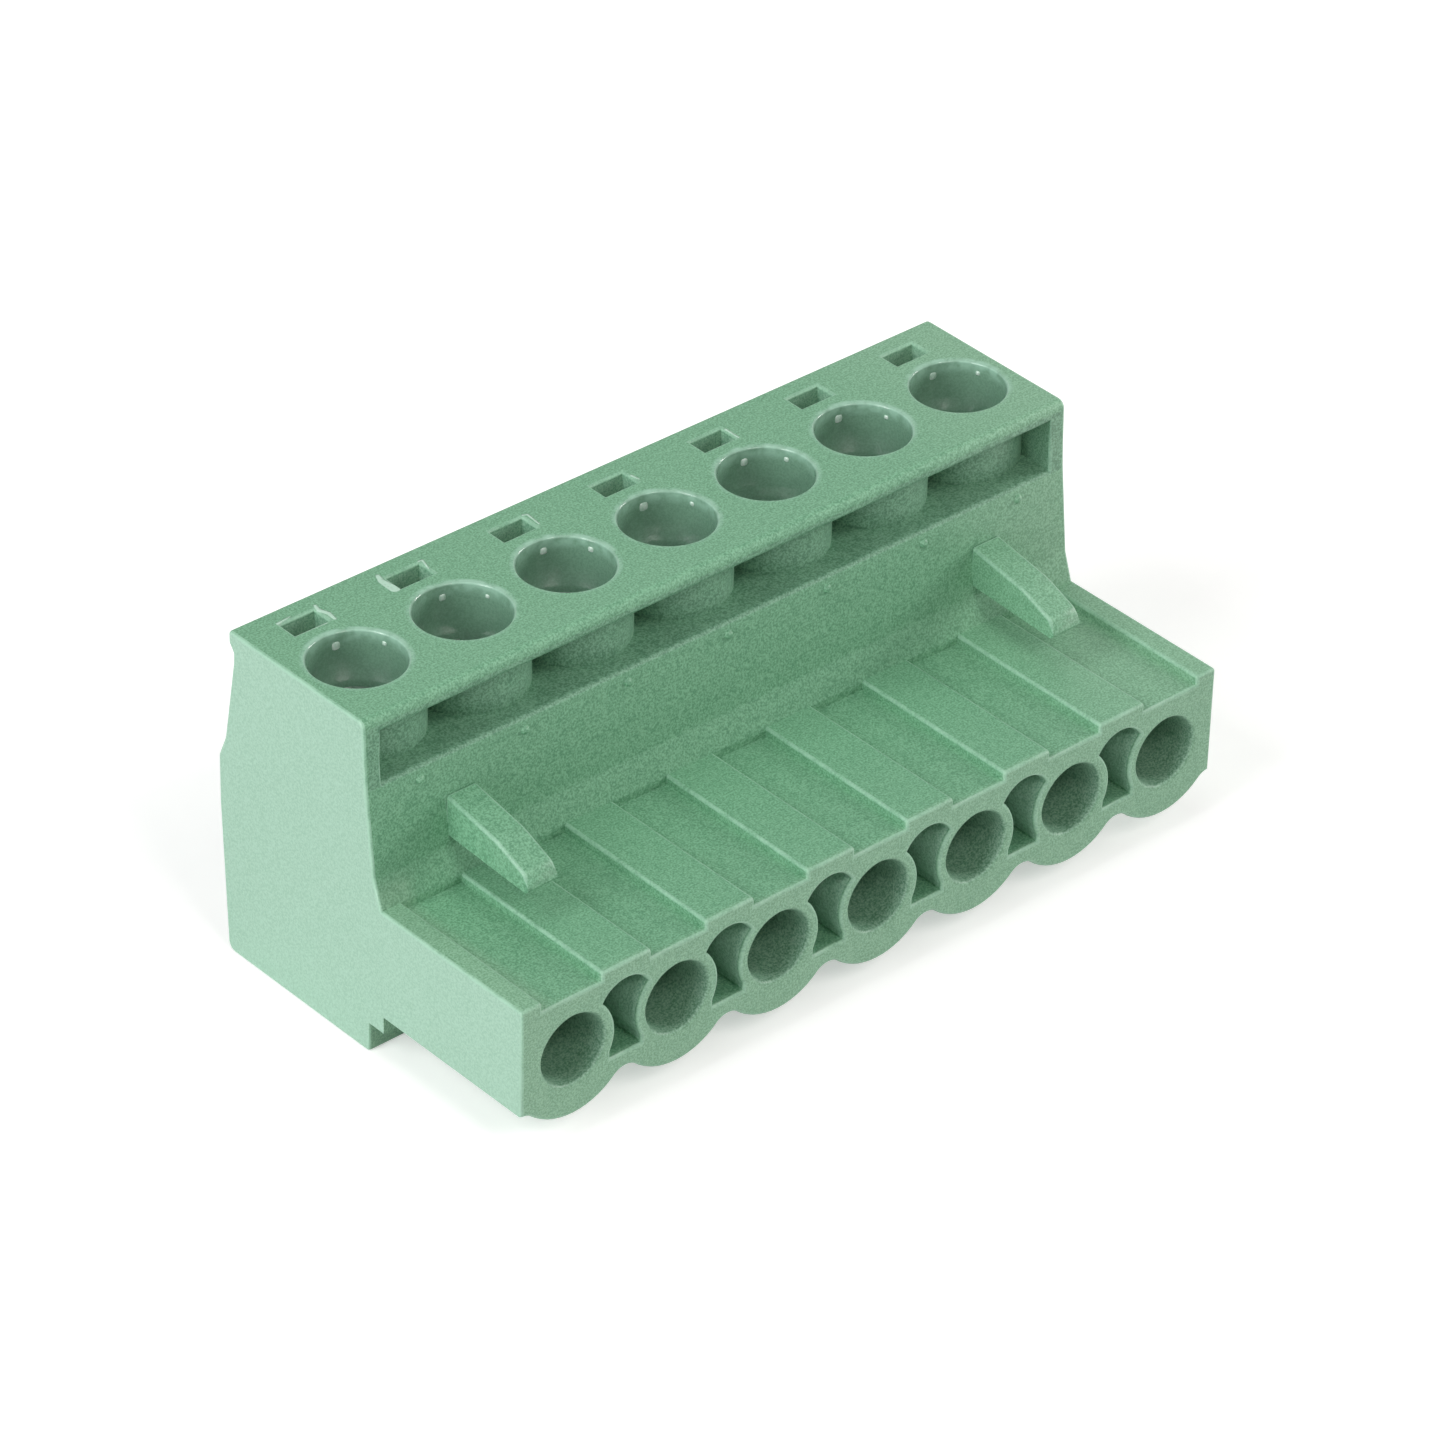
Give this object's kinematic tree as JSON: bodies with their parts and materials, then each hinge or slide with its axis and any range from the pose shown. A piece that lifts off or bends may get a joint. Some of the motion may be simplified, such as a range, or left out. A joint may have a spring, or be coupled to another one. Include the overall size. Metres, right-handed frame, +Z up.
{
  "type": "pluggable terminal block",
  "caption": "Pluggable screw-clamp terminal block in green plastic: a row of screw wells over wire clamps, with a tongue of round pin sockets and two latch noses.",
  "frame": {"origin": "centre of the footprint on the underside", "axes": "+X along the row from pole 1 to pole 7, -Y out of the plug face, +Y towards the wire side, +Z up through the screw wells"},
  "size_m": [0.0356, 0.018, 0.015],
  "materials": {
    "housing_plastic": "fine-grained green moulding",
    "screw_steel": "zinc plated",
    "cage_steel": "nickel plated",
    "contact_tin": "tin plated"
  },
  "bodies": {
    "housing": {"housing": "housing_plastic", "contact_1": "contact_tin", "contact_2": "contact_tin", "contact_3": "contact_tin", "contact_4": "contact_tin", "contact_5": "contact_tin", "contact_6": "contact_tin", "contact_7": "contact_tin"},
    "screw_1": {"screw_1": "screw_steel"},
    "screw_2": {"screw_2": "screw_steel"},
    "screw_3": {"screw_3": "screw_steel"},
    "screw_4": {"screw_4": "screw_steel"},
    "screw_5": {"screw_5": "screw_steel"},
    "screw_6": {"screw_6": "screw_steel"},
    "screw_7": {"screw_7": "screw_steel"},
    "cage_1": {"cage_1": "cage_steel"},
    "cage_2": {"cage_2": "cage_steel"},
    "cage_3": {"cage_3": "cage_steel"},
    "cage_4": {"cage_4": "cage_steel"},
    "cage_5": {"cage_5": "cage_steel"},
    "cage_6": {"cage_6": "cage_steel"},
    "cage_7": {"cage_7": "cage_steel"}
  },
  "joints": [
    {"name": "screw_turn_1", "type": "hinge", "parent": "housing", "child": "screw_1", "pos_m": [-0.01524, 0.00365, 0.012], "axis": [0, 0, -1], "range_deg": [0, 2016]},
    {"name": "screw_turn_2", "type": "hinge", "parent": "housing", "child": "screw_2", "pos_m": [-0.01016, 0.00365, 0.012], "axis": [0, 0, -1], "range_deg": [0, 2016]},
    {"name": "screw_turn_3", "type": "hinge", "parent": "housing", "child": "screw_3", "pos_m": [-0.00508, 0.00365, 0.012], "axis": [0, 0, -1], "range_deg": [0, 2016]},
    {"name": "screw_turn_4", "type": "hinge", "parent": "housing", "child": "screw_4", "pos_m": [0, 0.00365, 0.012], "axis": [0, 0, -1], "range_deg": [0, 2016]},
    {"name": "screw_turn_5", "type": "hinge", "parent": "housing", "child": "screw_5", "pos_m": [0.00508, 0.00365, 0.012], "axis": [0, 0, -1], "range_deg": [0, 2016]},
    {"name": "screw_turn_6", "type": "hinge", "parent": "housing", "child": "screw_6", "pos_m": [0.01016, 0.00365, 0.012], "axis": [0, 0, -1], "range_deg": [0, 2016]},
    {"name": "screw_turn_7", "type": "hinge", "parent": "housing", "child": "screw_7", "pos_m": [0.01524, 0.00365, 0.012], "axis": [0, 0, -1], "range_deg": [0, 2016]},
    {"name": "cage_lift_1", "type": "slide", "parent": "housing", "child": "cage_1", "axis": [0, 0, 1], "range_m": [0, 0.0028]},
    {"name": "cage_lift_2", "type": "slide", "parent": "housing", "child": "cage_2", "axis": [0, 0, 1], "range_m": [0, 0.0028]},
    {"name": "cage_lift_3", "type": "slide", "parent": "housing", "child": "cage_3", "axis": [0, 0, 1], "range_m": [0, 0.0028]},
    {"name": "cage_lift_4", "type": "slide", "parent": "housing", "child": "cage_4", "axis": [0, 0, 1], "range_m": [0, 0.0028]},
    {"name": "cage_lift_5", "type": "slide", "parent": "housing", "child": "cage_5", "axis": [0, 0, 1], "range_m": [0, 0.0028]},
    {"name": "cage_lift_6", "type": "slide", "parent": "housing", "child": "cage_6", "axis": [0, 0, 1], "range_m": [0, 0.0028]},
    {"name": "cage_lift_7", "type": "slide", "parent": "housing", "child": "cage_7", "axis": [0, 0, 1], "range_m": [0, 0.0028]}
  ],
  "couplings": [
    {"joint": "screw_turn_1", "follows": "cage_lift_1", "rad_per_m": 12566},
    {"joint": "screw_turn_2", "follows": "cage_lift_2", "rad_per_m": 12566},
    {"joint": "screw_turn_3", "follows": "cage_lift_3", "rad_per_m": 12566},
    {"joint": "screw_turn_4", "follows": "cage_lift_4", "rad_per_m": 12566},
    {"joint": "screw_turn_5", "follows": "cage_lift_5", "rad_per_m": 12566},
    {"joint": "screw_turn_6", "follows": "cage_lift_6", "rad_per_m": 12566},
    {"joint": "screw_turn_7", "follows": "cage_lift_7", "rad_per_m": 12566}
  ]
}
